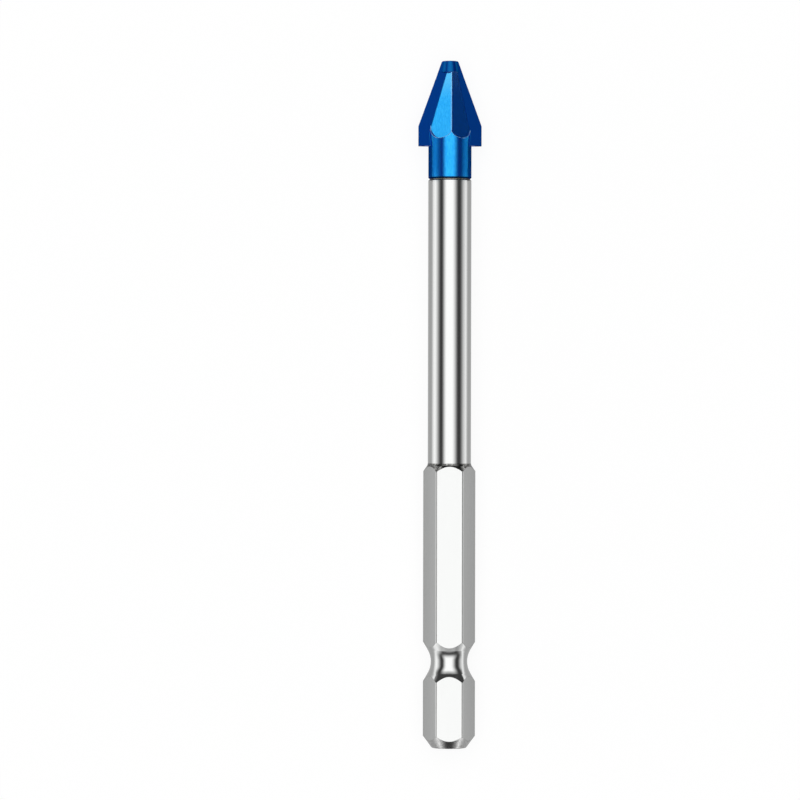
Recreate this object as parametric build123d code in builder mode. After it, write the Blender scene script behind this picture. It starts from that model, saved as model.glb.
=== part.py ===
from build123d import *
import math
import os

# Carbide drill bit with a hexagon quick-change shank and a spear-shaped head.
# The axis of the bit is Y: the driven end face is at Y = 0 and the point is at +Y.
# X runs across the two wings and Z is up, square to one flat of the hexagon.
# All lengths are in millimetres and all angles in degrees.

# Hexagon end of the shank
hex_across_flats = 6.35
hex_corner_radius = 0.3
hex_length = 38.38
end_face_diameter = 4.8
end_cone_angle = 36
end_edge_radius = 0.2

# Detent groove turned into the hexagon
groove_centre = 12.0
groove_root_diameter = 5.06
groove_arc_radius = 3.2
groove_side_angle = 30

# Round end of the shank
shoulder_angle = 34
shoulder_foot_radius = 0.8
shaft_diameter = 6.0
shaft_end = 78.95

# Brazed joint between the shaft and the head
braze_thickness = 0.1
shank_bevel = 0.12
neck_bevel = 0.18

# Head: a round neck, two wings with a parallel land, then a cone to a blunt point
neck_length = 4.6
land_length = 2.75
cone_length = 9.05
head_diameter = 8.8
point_diameter = 2.26
point_edge_radius = 0.25
taper_start = 2.0
taper_angle = 11.2
cap_length = 1.55

# Wings: half their thickness in the middle plane at the heel, and how it falls away
wing_half_thickness = 2.25
wing_side_slope = 20.3
wing_point_slope = 7
wing_root_radius = 0.2

# Ground facets: slopes about the axis and towards the point, left and right of each ridge
ridge_start = 1.8
ridge_offset = 0.16
left_facet_slope = 33.7
left_facet_lean = 11.75
right_facet_slope = 36.9
right_facet_lean = 11.55
facet_half_width = 1.6
facet_end_radius = 1.9
facet_foot_radius = 0.1
facet_flare = 12

# Narrow honed flat along the ridge between two facets
hone_depth = 0.04
hone_entry = 0.2
hone_half_width = 0.25

neck_radius = shaft_diameter / 2
head_start = shaft_end + braze_thickness
heel_station = head_start + neck_length
land_end = heel_station + land_length
point_station = land_end + cone_length
taper_station = heel_station + taper_start
ridge_station = heel_station + ridge_start
ridge_height = math.sqrt(neck_radius**2 - ridge_offset**2)


def tan(angle):
    """Tangent of an angle in degrees."""
    return math.tan(math.radians(angle))


def station(y):
    """Plane square to the axis at Y = y, with its x along X and its z towards the point."""
    return Plane(origin=(0, y, 0), x_dir=(1, 0, 0), z_dir=(0, 1, 0))


def groove_half_length(radius):
    """Half the groove's length along the axis where its sides reach the given radius."""
    turn = math.radians(groove_side_angle)
    arc_rise = groove_arc_radius * (1 - math.cos(turn))
    arc_reach = groove_arc_radius * math.sin(turn)
    side_rise = radius - groove_root_diameter / 2 - arc_rise
    return arc_reach + side_rise / tan(groove_side_angle)


def facet_plane(side, slope, lean):
    """Plane of one facet through the foot of the ridge, with its z pointing out of the metal."""
    return Plane(
        origin=(ridge_offset, ridge_station, ridge_height),
        x_dir=(1, 0, -side * tan(slope)),
        z_dir=(side * tan(slope), tan(lean), 1),
    )


# Shank: a hexagon bar, turned down to the shaft and grooved for the holder's ball
bar_radius = hex_across_flats / 2 / math.cos(math.pi / 6)
end_cone_length = (bar_radius - end_face_diameter / 2) / tan(end_cone_angle)
shoulder_end = hex_length + (bar_radius - shaft_diameter / 2) / tan(shoulder_angle)
groove_reach = groove_half_length(bar_radius)
arc_start = groove_arc_radius * math.sin(math.radians(groove_side_angle))
arc_start_radius = groove_root_diameter / 2 + groove_arc_radius * (
    1 - math.cos(math.radians(groove_side_angle))
)

with BuildPart() as shank:
    with BuildSketch(station(0)):
        hexagon = RegularPolygon(hex_across_flats / 2, 6, major_radius=False)
        fillet(hexagon.vertices(), hex_corner_radius)
    extrude(amount=shaft_end)
    with BuildSketch(Plane.XY) as turned_outline:
        with BuildLine():
            Polyline(
                (0, 0),
                (end_face_diameter / 2, 0),
                (bar_radius, end_cone_length),
                (bar_radius, groove_centre - groove_reach),
                (arc_start_radius, groove_centre - arc_start),
            )
            ThreePointArc(
                (arc_start_radius, groove_centre - arc_start),
                (groove_root_diameter / 2, groove_centre),
                (arc_start_radius, groove_centre + arc_start),
            )
            Polyline(
                (arc_start_radius, groove_centre + arc_start),
                (bar_radius, groove_centre + groove_reach),
                (bar_radius, hex_length),
                (shaft_diameter / 2, shoulder_end),
                (shaft_diameter / 2, shaft_end - shank_bevel),
                (shaft_diameter / 2 - shank_bevel, shaft_end),
                (0, shaft_end),
                (0, 0),
            )
        make_face()
        end_edge = turned_outline.vertices().sort_by_distance((end_face_diameter / 2, 0))[0]
        fillet(end_edge, end_edge_radius)
        shoulder_foot = turned_outline.vertices().sort_by_distance(
            (shaft_diameter / 2, shoulder_end)
        )[0]
        fillet(shoulder_foot, shoulder_foot_radius)
    revolve(axis=Axis.Y, mode=Mode.INTERSECT)
shank.part.label = "shank"

# Brazing alloy: the thin film between the two flat faces, inside their bevelled edges
with BuildPart() as braze_joint:
    with BuildSketch(station(shaft_end)):
        Circle(neck_radius - max(shank_bevel, neck_bevel))
    extrude(amount=braze_thickness)
braze_joint.part.label = "braze_joint"

# Grinding wheel's path over a facet: flat below, with a round end towards the neck
wheel_reach = cone_length + land_length
wheel_depth = head_diameter / 2
centre_height = math.sqrt(facet_end_radius**2 - facet_half_width**2)
side_start_x = facet_end_radius * math.cos(math.radians(facet_flare))
side_start_y = -facet_end_radius * math.sin(math.radians(facet_flare))
side_end_x = side_start_x + (wheel_reach - side_start_y) * tan(facet_flare)

with BuildPart() as wheel:
    with BuildSketch(Plane.XY):
        with BuildLine():
            ThreePointArc(
                (-side_start_x, side_start_y),
                (0, -facet_end_radius),
                (side_start_x, side_start_y),
            )
            Polyline(
                (side_start_x, side_start_y),
                (side_end_x, wheel_reach),
                (-side_end_x, wheel_reach),
                (-side_start_x, side_start_y),
            )
        make_face()
    extrude(amount=wheel_depth)
    fillet(wheel.faces().sort_by(Axis.Z)[0].edges(), facet_foot_radius)

# Wings: a flat bar, thinned by four planes to its two sides and towards the point
with BuildPart() as wings:
    with BuildSketch(station(heel_station)):
        Rectangle(2 * shaft_diameter, shaft_diameter)
    extrude(amount=point_station - heel_station)
    for side in (-1, 1):
        for face in (-1, 1):
            wing_plane = Plane(
                origin=(0, heel_station, face * wing_half_thickness),
                z_dir=(side * tan(wing_side_slope), tan(wing_point_slope), face),
            )
            split(bisect_by=wing_plane, keep=Keep.BOTTOM)

# All that is ground away on one side: two facets and the hone along their ridge
left_plane = facet_plane(-1, left_facet_slope, left_facet_lean)
right_plane = facet_plane(1, right_facet_slope, right_facet_lean)
ridge_line = left_plane.z_dir.cross(right_plane.z_dir)
ridge_fall = -ridge_line.Z / math.hypot(ridge_line.X, ridge_line.Y)
entry_drop = hone_entry * ridge_fall + hone_depth
ridge_side = Plane(
    origin=(ridge_offset, ridge_station, ridge_height),
    x_dir=(ridge_line.X, ridge_line.Y, 0),
    z_dir=(ridge_line.Y, -ridge_line.X, 0),
)

with BuildPart() as grinding:
    for side, plane in ((-1, left_plane), (1, right_plane)):
        with Locations(plane.location * Location((side * facet_half_width, centre_height, 0))):
            add(wheel.part)
    with BuildSketch(ridge_side):
        Polygon(
            (-hone_entry, entry_drop),
            (hone_entry, -entry_drop),
            (wheel_reach, -wheel_reach * ridge_fall - hone_depth),
            (wheel_reach, wheel_depth),
            (-hone_entry, wheel_depth),
            align=None,
        )
    extrude(amount=hone_half_width, both=True)
    add(wings.part, mode=Mode.SUBTRACT)

# Head: a round core with two wings, ground on both sides, all inside the turned blank
cap_station = point_station - cap_length
cap_radius = neck_radius - (cap_station - taper_station) * tan(taper_angle)

with BuildPart() as carbide_head:
    with BuildSketch(Plane(origin=(0, head_start, 0), x_dir=(1, 0, 1), z_dir=(0, 1, 0))):
        Circle(neck_radius)
    extrude(amount=taper_station - head_start)
    with BuildSketch(Plane(origin=(0, taper_station, 0), x_dir=(1, 0, 1), z_dir=(0, 1, 0))):
        Circle(neck_radius)
    extrude(amount=point_station - taper_station, taper=taper_angle)
    add(wings.part)
    fillet(carbide_head.edges().filter_by(GeomType.ELLIPSE), wing_root_radius)
    for turn in (0, 180):
        with Locations(Location((0, 0, 0), (0, turn, 0))):
            add(grinding.part, mode=Mode.SUBTRACT)
    with BuildSketch(station(cap_station)):
        Circle(cap_radius)
    extrude(amount=cap_length, taper=taper_angle)
    with BuildSketch(Plane.XY) as blank_outline:
        with BuildLine():
            Polyline(
                (0, head_start),
                (neck_radius - neck_bevel, head_start),
                (neck_radius, head_start + neck_bevel),
                (head_diameter / 2, heel_station),
                (head_diameter / 2, land_end),
                (point_diameter / 2, point_station),
                (0, point_station),
                (0, head_start),
            )
        make_face()
        point_edge = blank_outline.vertices().sort_by_distance((point_diameter / 2, point_station))[0]
        fillet(point_edge, point_edge_radius)
    revolve(axis=Axis.Y, mode=Mode.INTERSECT)
carbide_head.part.label = "carbide_head"

os.makedirs("parts", exist_ok=True)
export_step(shank.part, "parts/shank.step")
export_step(braze_joint.part, "parts/braze_joint.step")
export_step(carbide_head.part, "parts/carbide_head.step")
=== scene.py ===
import math

import bpy
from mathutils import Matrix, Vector


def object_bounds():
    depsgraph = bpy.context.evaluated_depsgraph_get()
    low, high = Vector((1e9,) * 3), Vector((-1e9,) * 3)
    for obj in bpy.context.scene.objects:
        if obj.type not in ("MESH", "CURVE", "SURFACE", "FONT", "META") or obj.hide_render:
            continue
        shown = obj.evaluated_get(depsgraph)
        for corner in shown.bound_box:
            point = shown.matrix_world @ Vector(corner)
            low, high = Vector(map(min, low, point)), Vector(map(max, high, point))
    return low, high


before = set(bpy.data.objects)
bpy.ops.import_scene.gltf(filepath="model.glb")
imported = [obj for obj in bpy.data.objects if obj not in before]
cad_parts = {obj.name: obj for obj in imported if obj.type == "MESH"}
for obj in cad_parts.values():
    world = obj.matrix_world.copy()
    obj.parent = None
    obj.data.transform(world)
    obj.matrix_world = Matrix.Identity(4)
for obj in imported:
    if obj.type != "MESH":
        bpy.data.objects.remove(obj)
cad_low, cad_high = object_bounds()

MM = 0.001
WHITE = (1, 1, 1)
BLACK = (0, 0, 0)

# Camera: straight above the bit, which lies a little to the right of the picture's middle
PICTURE_SIDE = 800
PIXELS_PER_MM = 7.19
CAMERA_HEIGHT = 550 * MM
CAMERA_SIDE = -6.88 * MM
CAMERA_ALONG = 48.33 * MM
CAMERA_ROLL = 0.11
CAMERA_CLIP = 10 * MM
SENSOR_WIDTH = 36

# Strength of the light that each part of the sky sends
TOP_LIGHT = 1.76
LEFT_LIGHT = 1.68
RIGHT_LIGHT = 1.2
DARK_SKY = 0.07

# Edges of the lights in degrees, as (dark, full): across the bit 0 is straight up and plus is to
# the right, along it 0 is square to the axis and plus is towards the point
TOP_LEFT_EDGE = (-43.5, -15)
TOP_RIGHT_EDGE = (47, 11)
TOP_TAIL_EDGE = (-50, -22)
TOP_POINT_EDGE = (52, 34)
LEFT_EDGE = (-48, -90)
RIGHT_EDGE = (55, 90)
SIDE_POINT_EDGE = (62, 50)
SIDE_TAIL_EDGE = (-80, -50)

# Low band of light behind the tail
TAIL_LIGHT = 0.7
TAIL_LOW_EDGE = (-72, -63)
TAIL_HIGH_EDGE = (-49, -59)
TAIL_SIDE_EDGE = (50, 25)

# Away from the middle, towards both ends, the lights are wider across the bit
WIDE_EDGE = (4, 50)
WIDE_SCALE = 0.68

# Behind the tail the side lights reach round
TAIL_SPREAD_START = 20
TAIL_SPREAD = 0.7

# Cards that the two facets mirror to the camera: angles from above, across and along the bit
CARD_FOCUS = (0, 90 * MM, 1 * MM)
CARD_DISTANCE = 50 * MM
CARD_SIZE = 17 * MM
WHITE_CARD = (-69, 20.6)
BLACK_CARD = (76.9, 18.9)
WHITE_CARD_LIGHT = 1.6

# Blue filter on each side of the neck: where it stands and the share of each colour it lets by
FILTER_SIDE = 20 * MM
FILTER_ALONG = (80.1 * MM, 91 * MM)
FILTER_HEIGHT = (-3 * MM, 14 * MM)
FILTER_SHARE = (0.22, 0.4, 0.5)

# Dark card lying on each side of the neck
LOW_CARD_SIDE = 10 * MM
LOW_CARD_ALONG = 82.25 * MM
LOW_CARD_SIZE = (13 * MM, 5.7 * MM)
LOW_CARD_RISE = 0.1 * MM
LOW_CARD_LIGHT = 0.12

# All finishes: how much detail a pattern has, how finely edges are rounded, and how far the
# rounded normal turns away, as 1 less the cosine, where a sharp edge begins and where it is full
PATTERN_DETAIL = 2
EDGE_SAMPLES = 6
EDGE_TURN = (0.006, 0.03)

# Steel: polished where it is turned or ground round, duller on the flats of the hexagon
STEEL_COLOR = (0.555, 0.56, 0.555)
TURNED_ROUGHNESS = 0.1
FLAT_ROUGHNESS = (0.2, 0.27)
FLAT_DISTANCE = (3.15 * MM, 3.172 * MM)
STEEL_EDGE = 0.06 * MM
# Painted shade: colour of a dark line painted along the steel's sharp edges
EDGE_PAINTED_SHADE = (0.1, 0.1, 0.1)
LINE_WIDTH = 0.03 * MM
LINE_LENGTH = 6 * MM
LINE_DEPTH = 0.0003 * MM
LINE_RANGE = (0.3, 0.7)
RING_WIDTH = 0.12 * MM
RING_REACH = 1000 * MM
RING_DEPTH = 0.0006 * MM

# Slope of the hexagon's slanted sides, as the angle of their normals above X
HEX_SLANT = 30

# Steel left as turned, mottled grey: the shoulder and the end cone
SHOULDER = (38.35 * MM, 39.5 * MM)
END_CONE = 1.85 * MM
BLUR = 0.08 * MM
MOTTLE_SIZE = 0.14 * MM
MOTTLE_DETAIL = 3
MOTTLE_RANGE = (0.35, 0.65)
MOTTLE_DEPTH = 0.003 * MM
MOTTLE_ROUGHNESS = 0.14
SHOULDER_DARK = (0.02, 0.02, 0.02)
SHOULDER_LIGHT = (0.32, 0.32, 0.31)
CONE_DARK = (0.36, 0.36, 0.36)
CONE_LIGHT = (0.64, 0.64, 0.63)

# Blue coating: a clear gloss over a deep blue sheen, with painted light towards the tip and a
# painted highlight along its edges
GLOSS_COLOR = (0.031, 0.405, 0.74)
GLOSS_ROUGHNESS = 0.16
CLOUD_COLOR = (0.015, 0.33, 0.65)
CLOUD_WIDTH = 0.16 * MM
CLOUD_LENGTH = 0.5 * MM
CLOUD_DETAIL = 3
CLOUD_RANGE = (0.35, 0.7)
# Painted light: the coating is made lighter towards the tip, fully within the second distance
# from it and not at all beyond the first
PAINTED_TIP_LIGHT = (0.08, 0.47, 0.72)
PAINTED_TIP_REACH = (5.6 * MM, 2 * MM)
GLOSS_GRAZING = (0.25, 0.4, 0.75)
# Painted highlight: pale colour painted along the coating's sharp edges
EDGE_HIGHLIGHT_COLOR = (0.55, 0.85, 1)
EDGE_ROUGHNESS = 0.5
SHEEN_COLOR = (0, 0.02, 0.85)
SHEEN_ROUGHNESS = 0.6
SHEEN_GRAZING = (0.1, 0.2, 0.7)
SHEEN_SHARE = 0.25
BLUE_EDGE = 0.1 * MM
GRAIN_WIDTH = 0.04 * MM
GRAIN_LENGTH = 0.8 * MM
GRAIN_DEPTH = 0.0008 * MM
PEEL_SIZE = 0.5 * MM
PEEL_DETAIL = 1
PEEL_DEPTH = 0.002 * MM

# The unground tip and wings are a duller blue, and their darker colour is painted shade
TIP_LENGTH = 1.55 * MM
HEEL_LENGTH = 11.8 * MM
WING_HALF_THICKNESS = 2.25 * MM
WING_SIDE_SLOPE = 20.3
WING_POINT_SLOPE = 7
WING_REACH = 0.04 * MM
UNGROUND_PAINTED_SHADE = (0.004, 0.105, 0.175)
UNGROUND_ROUGHNESS = 0.28

# The neck's end by the joint, darkened with painted shade
JOINT_SHADE_EDGE = (79.36 * MM, 79.24 * MM)
JOINT_SHADE_COLOR = (0.002, 0.03, 0.09)

# Brazing alloy
ALLOY_DARK = (0.2, 0.18, 0.13)
ALLOY_LIGHT = (0.42, 0.39, 0.32)
ALLOY_SPOT = 0.2 * MM
ALLOY_RANGE = (0.3, 0.7)
ALLOY_ROUGHNESS = (0.35, 0.5)
ALLOY_DEPTH = 0.004 * MM

# Floor: its side in metres, its glow as the camera sees it, its own grey, and its glow as the bit
# mirrors it near by and further off, which is painted shade near the bit and painted light
# further off
FLOOR_SIDE = 4.0
FLOOR_GLOW = 0.9
FLOOR_GREY = 0.12
NEAR_GLOW = 0.48
FAR_GLOW = 1.3
NEAR_FLOOR = 8 * MM
FAR_FLOOR = 35 * MM

# Sockets of a colour mix: the colour at 0, the colour at 1 and the result
MIX_FIRST = 6
MIX_SECOND = 7
MIX_RESULT = 2


def link(tree, source, target):
    """Joins one socket to another."""
    tree.links.new(source, target)


def new_node(tree, kind, **settings):
    """A node of that kind with its settings."""
    node = tree.nodes.new(kind)
    for name, value in settings.items():
        setattr(node, name, value)
    return node


def math_node(tree, operation, first, second=None):
    """The result of one sum on two sockets or numbers."""
    node = new_node(tree, "ShaderNodeMath", operation=operation)
    for place, value in enumerate((first, second)):
        if value is None:
            continue
        if isinstance(value, (int, float)):
            node.inputs[place].default_value = value
        else:
            link(tree, value, node.inputs[place])
    return node.outputs[0]


def ramp(tree, value, start, end, low=0, high=1):
    """low at start and high at end, with a smooth change between them."""
    node = new_node(tree, "ShaderNodeMapRange", interpolation_type="SMOOTHSTEP")
    link(tree, value, node.inputs["Value"])
    node.inputs["From Min"].default_value = start
    node.inputs["From Max"].default_value = end
    node.inputs["To Min"].default_value = low
    node.inputs["To Max"].default_value = high
    return node.outputs[0]


def fade(tree, angle, edge):
    """0 at the dark end of an edge and 1 at its full end; the edge is in degrees."""
    return ramp(tree, angle, math.radians(edge[0]), math.radians(edge[1]))


def beyond(tree, angle, start, rate):
    """How far an angle is beyond start degrees, times rate, and never below 0."""
    excess = difference(tree, angle, math.radians(start))
    return product(tree, larger(tree, excess, 0), rate)


def product(tree, *factors):
    """All the factors multiplied."""
    result = factors[0]
    for factor in factors[1:]:
        result = math_node(tree, "MULTIPLY", result, factor)
    return result


def total(tree, *terms):
    """All the terms added."""
    result = terms[0]
    for term in terms[1:]:
        result = math_node(tree, "ADD", result, term)
    return result


def difference(tree, first, second):
    """The first less the second."""
    return math_node(tree, "SUBTRACT", first, second)


def size_of(tree, value):
    """A value without its sign."""
    return math_node(tree, "ABSOLUTE", value)


def larger(tree, first, second):
    """The larger of two values."""
    return math_node(tree, "MAXIMUM", first, second)


def add_sky():
    """Soft light from above, both sides and low behind the tail; white for the camera."""
    world = bpy.data.worlds.new("studio")
    bpy.context.scene.world = world
    world.use_nodes = True
    tree = world.node_tree
    tree.nodes.clear()
    place = new_node(tree, "ShaderNodeTexCoord")
    direction = new_node(tree, "ShaderNodeSeparateXYZ")
    link(tree, place.outputs["Generated"], direction.inputs[0])
    x, y, z = direction.outputs
    along = math_node(tree, "ARCSINE", y)
    wide = fade(tree, size_of(tree, along), WIDE_EDGE)
    scale = ramp(tree, wide, 0, 1, 1, WIDE_SCALE)
    across = product(tree, math_node(tree, "ARCTAN2", x, z), scale)
    spread = beyond(tree, product(tree, along, -1), TAIL_SPREAD_START, TAIL_SPREAD)

    top = product(
        tree,
        fade(tree, across, TOP_LEFT_EDGE),
        fade(tree, across, TOP_RIGHT_EDGE),
        fade(tree, along, TOP_TAIL_EDGE),
        fade(tree, along, TOP_POINT_EDGE),
        TOP_LIGHT - DARK_SKY,
    )
    side_length = product(
        tree,
        fade(tree, along, SIDE_POINT_EDGE),
        fade(tree, along, SIDE_TAIL_EDGE),
    )
    left = product(
        tree,
        fade(tree, difference(tree, across, spread), LEFT_EDGE),
        side_length,
        LEFT_LIGHT - DARK_SKY,
    )
    right = product(
        tree,
        fade(tree, total(tree, across, spread), RIGHT_EDGE),
        side_length,
        RIGHT_LIGHT - DARK_SKY,
    )
    tail = product(
        tree,
        fade(tree, size_of(tree, across), TAIL_SIDE_EDGE),
        fade(tree, along, TAIL_LOW_EDGE),
        fade(tree, along, TAIL_HIGH_EDGE),
        TAIL_LIGHT - DARK_SKY,
    )

    sky = new_node(tree, "ShaderNodeBackground")
    sky.inputs["Color"].default_value = (*WHITE, 1)
    link(tree, total(tree, top, left, right, tail, DARK_SKY), sky.inputs["Strength"])
    background = new_node(tree, "ShaderNodeBackground")
    background.inputs["Color"].default_value = (*WHITE, 1)
    path = new_node(tree, "ShaderNodeLightPath")
    mix = new_node(tree, "ShaderNodeMixShader")
    link(tree, path.outputs["Is Camera Ray"], mix.inputs[0])
    link(tree, sky.outputs[0], mix.inputs[1])
    link(tree, background.outputs[0], mix.inputs[2])
    output = new_node(tree, "ShaderNodeOutputWorld")
    link(tree, mix.outputs[0], output.inputs["Surface"])


def add_floor():
    """Floor that the bit lies on: white to the camera, with a pale shadow, and with painted shade
    near the bit where the bit mirrors it.
    """
    bpy.ops.object.select_all(action="DESELECT")
    bpy.ops.mesh.primitive_plane_add(size=FLOOR_SIDE, location=(0, 0, cad_low.z))
    floor = bpy.context.object
    floor.name = "floor"
    material = bpy.data.materials.new("white_floor")
    material.use_nodes = True
    tree = material.node_tree
    tree.nodes.clear()
    path = new_node(tree, "ShaderNodeLightPath")
    place = new_node(tree, "ShaderNodeTexCoord")
    direction = new_node(tree, "ShaderNodeSeparateXYZ")
    link(tree, place.outputs["Object"], direction.inputs[0])
    distance = size_of(tree, direction.outputs["X"])
    # Painted shade and light in what the bit mirrors: the floor is darker near the bit and
    # brighter further off
    mirrored_shade_and_light = ramp(tree, distance, NEAR_FLOOR, FAR_FLOOR, NEAR_GLOW, FAR_GLOW)
    mirrored_shade_and_light = product(tree, mirrored_shade_and_light, path.outputs["Is Glossy Ray"])
    seen = larger(tree, path.outputs["Is Camera Ray"], path.outputs["Is Transmission Ray"])
    seen = product(tree, seen, FLOOR_GLOW)
    glow = new_node(tree, "ShaderNodeEmission")
    link(tree, total(tree, seen, mirrored_shade_and_light), glow.inputs["Strength"])
    surface = new_node(tree, "ShaderNodeBsdfDiffuse")
    surface.inputs["Color"].default_value = (FLOOR_GREY, FLOOR_GREY, FLOOR_GREY, 1)
    both = new_node(tree, "ShaderNodeAddShader")
    link(tree, glow.outputs[0], both.inputs[0])
    link(tree, surface.outputs[0], both.inputs[1])
    output = new_node(tree, "ShaderNodeOutputMaterial")
    link(tree, both.outputs[0], output.inputs["Surface"])
    floor.data.materials.append(material)


def add_card(name, place, turn, size, light, share=BLACK):
    """Flat card that only reflections show: it glows, and lets a share of each colour through."""
    bpy.ops.object.select_all(action="DESELECT")
    bpy.ops.mesh.primitive_plane_add(size=1, location=place, rotation=turn)
    card = bpy.context.object
    card.name = name
    card.scale = (*size, 1)
    material = bpy.data.materials.new(name)
    material.use_nodes = True
    tree = material.node_tree
    tree.nodes.clear()
    glow = new_node(tree, "ShaderNodeEmission")
    glow.inputs["Strength"].default_value = light
    clear = new_node(tree, "ShaderNodeBsdfTransparent")
    clear.inputs["Color"].default_value = (*share, 1)
    both = new_node(tree, "ShaderNodeAddShader")
    link(tree, glow.outputs[0], both.inputs[0])
    link(tree, clear.outputs[0], both.inputs[1])
    output = new_node(tree, "ShaderNodeOutputMaterial")
    link(tree, both.outputs[0], output.inputs["Surface"])
    card.data.materials.append(material)
    card.visible_camera = False
    card.visible_diffuse = False
    card.visible_shadow = False


def add_facet_card(name, angles, light):
    """Card that one facet mirrors to the camera."""
    across, along = (math.radians(angle) for angle in angles)
    direction = Vector(
        (math.sin(across) * math.cos(along), math.sin(along), math.cos(across) * math.cos(along))
    )
    place = Vector(CARD_FOCUS) + CARD_DISTANCE * direction
    turn = direction.to_track_quat("Z", "Y").to_euler()
    add_card(name, place, turn, (CARD_SIZE, CARD_SIZE), light)


def add_cards():
    """Cards for the two facets that face the camera, and filters and dark cards by the neck."""
    add_facet_card("white_card", WHITE_CARD, WHITE_CARD_LIGHT)
    add_facet_card("black_card", BLACK_CARD, DARK_SKY)
    upright = (0, math.radians(90), 0)
    lying = (0, 0, 0)
    along = sum(FILTER_ALONG) / 2
    height = sum(FILTER_HEIGHT) / 2
    size = (FILTER_HEIGHT[1] - FILTER_HEIGHT[0], FILTER_ALONG[1] - FILTER_ALONG[0])
    for name, side in (("left_filter", -FILTER_SIDE), ("right_filter", FILTER_SIDE)):
        add_card(name, (side, along, height), upright, size, 0, FILTER_SHARE)
    height = cad_low.z + LOW_CARD_RISE
    for name, side in (("left_low_card", -LOW_CARD_SIDE), ("right_low_card", LOW_CARD_SIDE)):
        add_card(name, (side, LOW_CARD_ALONG, height), lying, LOW_CARD_SIZE, LOW_CARD_LIGHT)


def add_camera():
    """Camera above the bit, looking straight down."""
    data = bpy.data.cameras.new("camera")
    data.sensor_width = SENSOR_WIDTH
    data.lens = SENSOR_WIDTH * CAMERA_HEIGHT / (PICTURE_SIDE / PIXELS_PER_MM * MM)
    data.clip_start = CAMERA_CLIP
    camera = bpy.data.objects.new("camera", data)
    bpy.context.scene.collection.objects.link(camera)
    camera.location = (CAMERA_SIDE, CAMERA_ALONG, CAMERA_HEIGHT)
    camera.rotation_euler = (0, 0, math.radians(CAMERA_ROLL))
    bpy.context.scene.camera = camera


def metal(name, color, roughness, edge=WHITE):
    """Metal material with its colour, its roughness and the tint of its grazing reflections."""
    material = bpy.data.materials.new(name)
    material.use_nodes = True
    set_metal(material.node_tree.nodes["Principled BSDF"], color, roughness, edge)
    return material


def set_metal(shader, color, roughness, edge=WHITE):
    """Metal values on one Principled shader."""
    shader.inputs["Base Color"].default_value = (*color, 1)
    shader.inputs["Metallic"].default_value = 1
    shader.inputs["Roughness"].default_value = roughness
    shader.inputs["Specular Tint"].default_value = (*edge, 1)


def object_place(tree):
    """Where a point lies on the part, as X, Y and Z."""
    place = new_node(tree, "ShaderNodeTexCoord")
    parts = new_node(tree, "ShaderNodeSeparateXYZ")
    link(tree, place.outputs["Object"], parts.inputs[0])
    return parts.outputs


def noise(tree, size_x, size_y, size_z, detail=PATTERN_DETAIL):
    """Random values from 0 to 1 in spots of that size along each axis."""
    place = new_node(tree, "ShaderNodeTexCoord")
    mapping = new_node(tree, "ShaderNodeMapping")
    mapping.inputs["Scale"].default_value = (1 / size_x, 1 / size_y, 1 / size_z)
    link(tree, place.outputs["Object"], mapping.inputs["Vector"])
    texture = new_node(tree, "ShaderNodeTexNoise")
    texture.inputs["Scale"].default_value = 1
    texture.inputs["Detail"].default_value = detail
    link(tree, mapping.outputs[0], texture.inputs["Vector"])
    return texture.outputs[0]


def blend(tree, share, first, second):
    """Colour that goes from the first to the second as share goes from 0 to 1."""
    mix = new_node(tree, "ShaderNodeMix", data_type="RGBA")
    link(tree, share, mix.inputs[0])
    for place, color in ((MIX_FIRST, first), (MIX_SECOND, second)):
        if isinstance(color, tuple):
            mix.inputs[place].default_value = (*color, 1)
        else:
            link(tree, color, mix.inputs[place])
    return mix.outputs[MIX_RESULT]


def rounded_normal(tree, radius):
    """Normal that softens every sharp edge by that radius."""
    edge = new_node(tree, "ShaderNodeBevel", samples=EDGE_SAMPLES)
    edge.inputs["Radius"].default_value = radius
    return edge.outputs[0]


def sharp_edge(tree, rounded):
    """0 on smooth surfaces and 1 along sharp edges, where the rounded normal turns away."""
    surface = new_node(tree, "ShaderNodeNewGeometry")
    turn = new_node(tree, "ShaderNodeVectorMath", operation="DOT_PRODUCT")
    link(tree, rounded, turn.inputs[0])
    link(tree, surface.outputs["Normal"], turn.inputs[1])
    return ramp(tree, difference(tree, 1, turn.outputs["Value"]), *EDGE_TURN)


def bumped(tree, height, depth, normal):
    """Normal with a relief added; a height of 1 stands as far out as depth."""
    bump = new_node(tree, "ShaderNodeBump")
    bump.inputs["Distance"].default_value = depth
    link(tree, height, bump.inputs["Height"])
    link(tree, normal, bump.inputs["Normal"])
    return bump.outputs[0]


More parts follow.
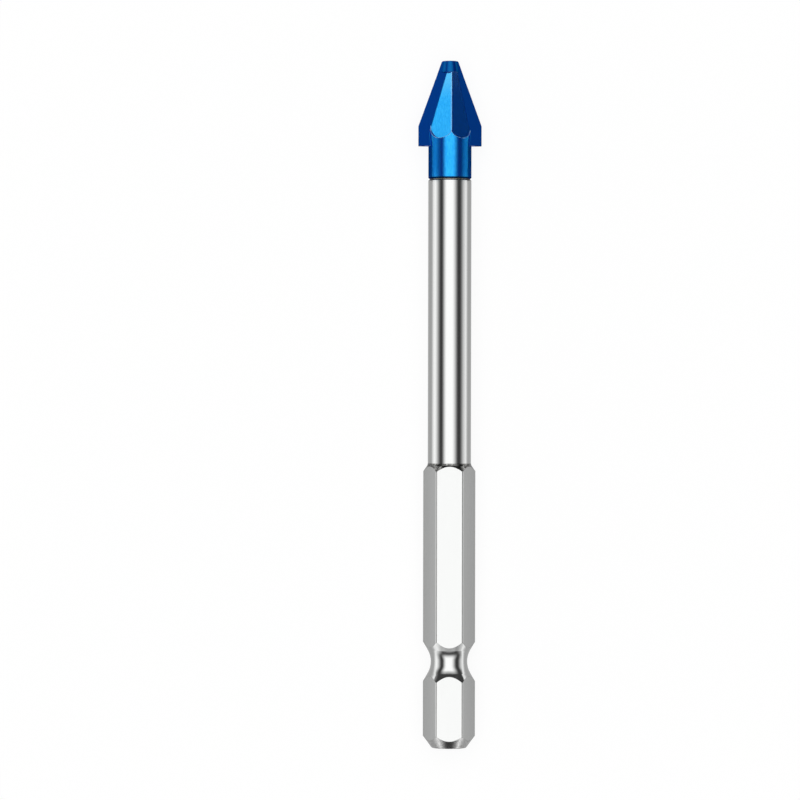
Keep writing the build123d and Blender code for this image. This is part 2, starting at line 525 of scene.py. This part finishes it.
def polished_steel():
    """Bright steel: rings where it is turned, lines along the flats, mottled cones."""
    material = metal("polished_steel", STEEL_COLOR, TURNED_ROUGHNESS)
    tree = material.node_tree
    shader = tree.nodes["Principled BSDF"]
    place_x, place_y, place_z = object_place(tree)
    x = size_of(tree, place_x)
    z = size_of(tree, place_z)
    slant = math.radians(HEX_SLANT)
    slanted = total(tree, product(tree, x, math.cos(slant)), product(tree, z, math.sin(slant)))
    flat = ramp(tree, larger(tree, slanted, z), *FLAT_DISTANCE)
    turned = difference(tree, 1, flat)
    shoulder = product(
        tree,
        ramp(tree, place_y, SHOULDER[0] - BLUR, SHOULDER[0]),
        ramp(tree, place_y, SHOULDER[1] + BLUR, SHOULDER[1]),
        turned,
    )
    end_cone = product(tree, ramp(tree, place_y, END_CONE + BLUR, END_CONE), turned)
    mottled = larger(tree, shoulder, end_cone)

    normal = rounded_normal(tree, STEEL_EDGE)
    lines = noise(tree, LINE_WIDTH, LINE_LENGTH, LINE_WIDTH)
    rings = noise(tree, RING_REACH, RING_WIDTH, RING_REACH)
    mottle = noise(tree, MOTTLE_SIZE, MOTTLE_SIZE, MOTTLE_SIZE, MOTTLE_DETAIL)
    spots = ramp(tree, mottle, *MOTTLE_RANGE)
    color = blend(tree, shoulder, STEEL_COLOR, blend(tree, spots, SHOULDER_DARK, SHOULDER_LIGHT))
    color = blend(tree, end_cone, color, blend(tree, spots, CONE_DARK, CONE_LIGHT))
    # Painted shade: the steel's sharp edges are darkened in its colour
    color = blend(tree, sharp_edge(tree, normal), color, EDGE_PAINTED_SHADE)
    link(tree, color, shader.inputs["Base Color"])

    ground = ramp(tree, lines, *LINE_RANGE, *FLAT_ROUGHNESS)
    rougher = product(tree, difference(tree, ground, TURNED_ROUGHNESS), flat)
    dull = product(tree, mottled, MOTTLE_ROUGHNESS - TURNED_ROUGHNESS)
    link(tree, total(tree, rougher, TURNED_ROUGHNESS, dull), shader.inputs["Roughness"])

    normal = bumped(tree, product(tree, lines, flat), LINE_DEPTH, normal)
    normal = bumped(tree, product(tree, rings, turned), RING_DEPTH, normal)
    normal = bumped(tree, product(tree, mottle, mottled), MOTTLE_DEPTH, normal)
    link(tree, normal, shader.inputs["Normal"])
    return material


def blue_coating():
    """Thin blue metallic coating: a clear gloss over a deep blue sheen, with a painted highlight
    along its edges.
    """
    material = metal("blue_coating", GLOSS_COLOR, GLOSS_ROUGHNESS, GLOSS_GRAZING)
    tree = material.node_tree
    gloss = tree.nodes["Principled BSDF"]
    sheen = new_node(tree, "ShaderNodeBsdfPrincipled")
    set_metal(sheen, SHEEN_COLOR, SHEEN_ROUGHNESS, SHEEN_GRAZING)

    rounded = rounded_normal(tree, BLUE_EDGE)
    place_x, place_y, place_z = object_place(tree)
    tip_start = cad_high.y - TIP_LENGTH
    tip = ramp(tree, place_y, tip_start - BLUR, tip_start)
    side_slope = math.tan(math.radians(WING_SIDE_SLOPE))
    point_slope = math.tan(math.radians(WING_POINT_SLOPE))
    side_fall = product(tree, size_of(tree, place_x), side_slope)
    heel_distance = difference(tree, place_y, cad_high.y - HEEL_LENGTH)
    point_fall = product(tree, heel_distance, point_slope)
    half_thickness = total(tree, size_of(tree, place_z), side_fall, point_fall)
    off_wing = size_of(tree, difference(tree, half_thickness, WING_HALF_THICKNESS))
    wing = ramp(tree, off_wing, WING_REACH, 0)
    unground = larger(tree, tip, wing)
    ground = difference(tree, 1, unground)
    edge = product(tree, sharp_edge(tree, rounded), ground)

    tip_distance = difference(tree, cad_high.y, place_y)
    clouds = noise(tree, CLOUD_WIDTH, CLOUD_LENGTH, CLOUD_WIDTH, CLOUD_DETAIL)
    color = blend(tree, ramp(tree, clouds, *CLOUD_RANGE), GLOSS_COLOR, CLOUD_COLOR)
    # Painted light: the coating's colour is lighter towards the tip
    color = blend(tree, ramp(tree, tip_distance, *PAINTED_TIP_REACH), color, PAINTED_TIP_LIGHT)
    # Painted shade: the unground tip and wings are darkened in the colour
    color = blend(tree, unground, color, UNGROUND_PAINTED_SHADE)
    # Painted highlight: sharp edges of the ground faces are made pale in the colour
    color = blend(tree, edge, color, EDGE_HIGHLIGHT_COLOR)
    # Painted shade: the neck's end by the joint is darkened in both the gloss and the sheen
    # colour
    joint_shade = ramp(tree, place_y, *JOINT_SHADE_EDGE)
    link(tree, blend(tree, joint_shade, color, JOINT_SHADE_COLOR), gloss.inputs["Base Color"])
    link(tree, blend(tree, joint_shade, SHEEN_COLOR, JOINT_SHADE_COLOR), sheen.inputs["Base Color"])
    dull = ramp(tree, unground, 0, 1, GLOSS_ROUGHNESS, UNGROUND_ROUGHNESS)
    rougher_edge = product(tree, edge, EDGE_ROUGHNESS)
    link(tree, larger(tree, dull, rougher_edge), gloss.inputs["Roughness"])

    grain = noise(tree, GRAIN_WIDTH, GRAIN_LENGTH, GRAIN_WIDTH)
    peel = noise(tree, PEEL_SIZE, PEEL_SIZE, PEEL_SIZE, PEEL_DETAIL)
    normal = bumped(tree, grain, GRAIN_DEPTH, rounded)
    normal = bumped(tree, peel, PEEL_DEPTH, normal)
    link(tree, normal, gloss.inputs["Normal"])
    link(tree, normal, sheen.inputs["Normal"])

    both = new_node(tree, "ShaderNodeMixShader")
    both.inputs[0].default_value = SHEEN_SHARE
    link(tree, gloss.outputs[0], both.inputs[1])
    link(tree, sheen.outputs[0], both.inputs[2])
    link(tree, both.outputs[0], tree.nodes["Material Output"].inputs["Surface"])
    return material


def brazing_alloy():
    """Dull silver alloy with darker spots and a slightly rough skin."""
    material = metal("brazing_alloy", ALLOY_LIGHT, ALLOY_ROUGHNESS[0])
    tree = material.node_tree
    shader = tree.nodes["Principled BSDF"]
    spots = noise(tree, ALLOY_SPOT, ALLOY_SPOT, ALLOY_SPOT)
    link(tree, blend(tree, spots, ALLOY_DARK, ALLOY_LIGHT), shader.inputs["Base Color"])
    link(tree, ramp(tree, spots, *ALLOY_RANGE, *ALLOY_ROUGHNESS), shader.inputs["Roughness"])
    normal = bumped(tree, spots, ALLOY_DEPTH, rounded_normal(tree, STEEL_EDGE))
    link(tree, normal, shader.inputs["Normal"])
    return material


def paint(node, material):
    """Puts one material on a CAD node."""
    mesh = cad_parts[node].data
    mesh.materials.clear()
    mesh.materials.append(material)


bpy.context.scene.view_settings.view_transform = "Standard"
add_sky()
add_floor()
add_cards()
add_camera()
paint("shank", polished_steel())
paint("carbide_head", blue_coating())
paint("braze_joint", brazing_alloy())
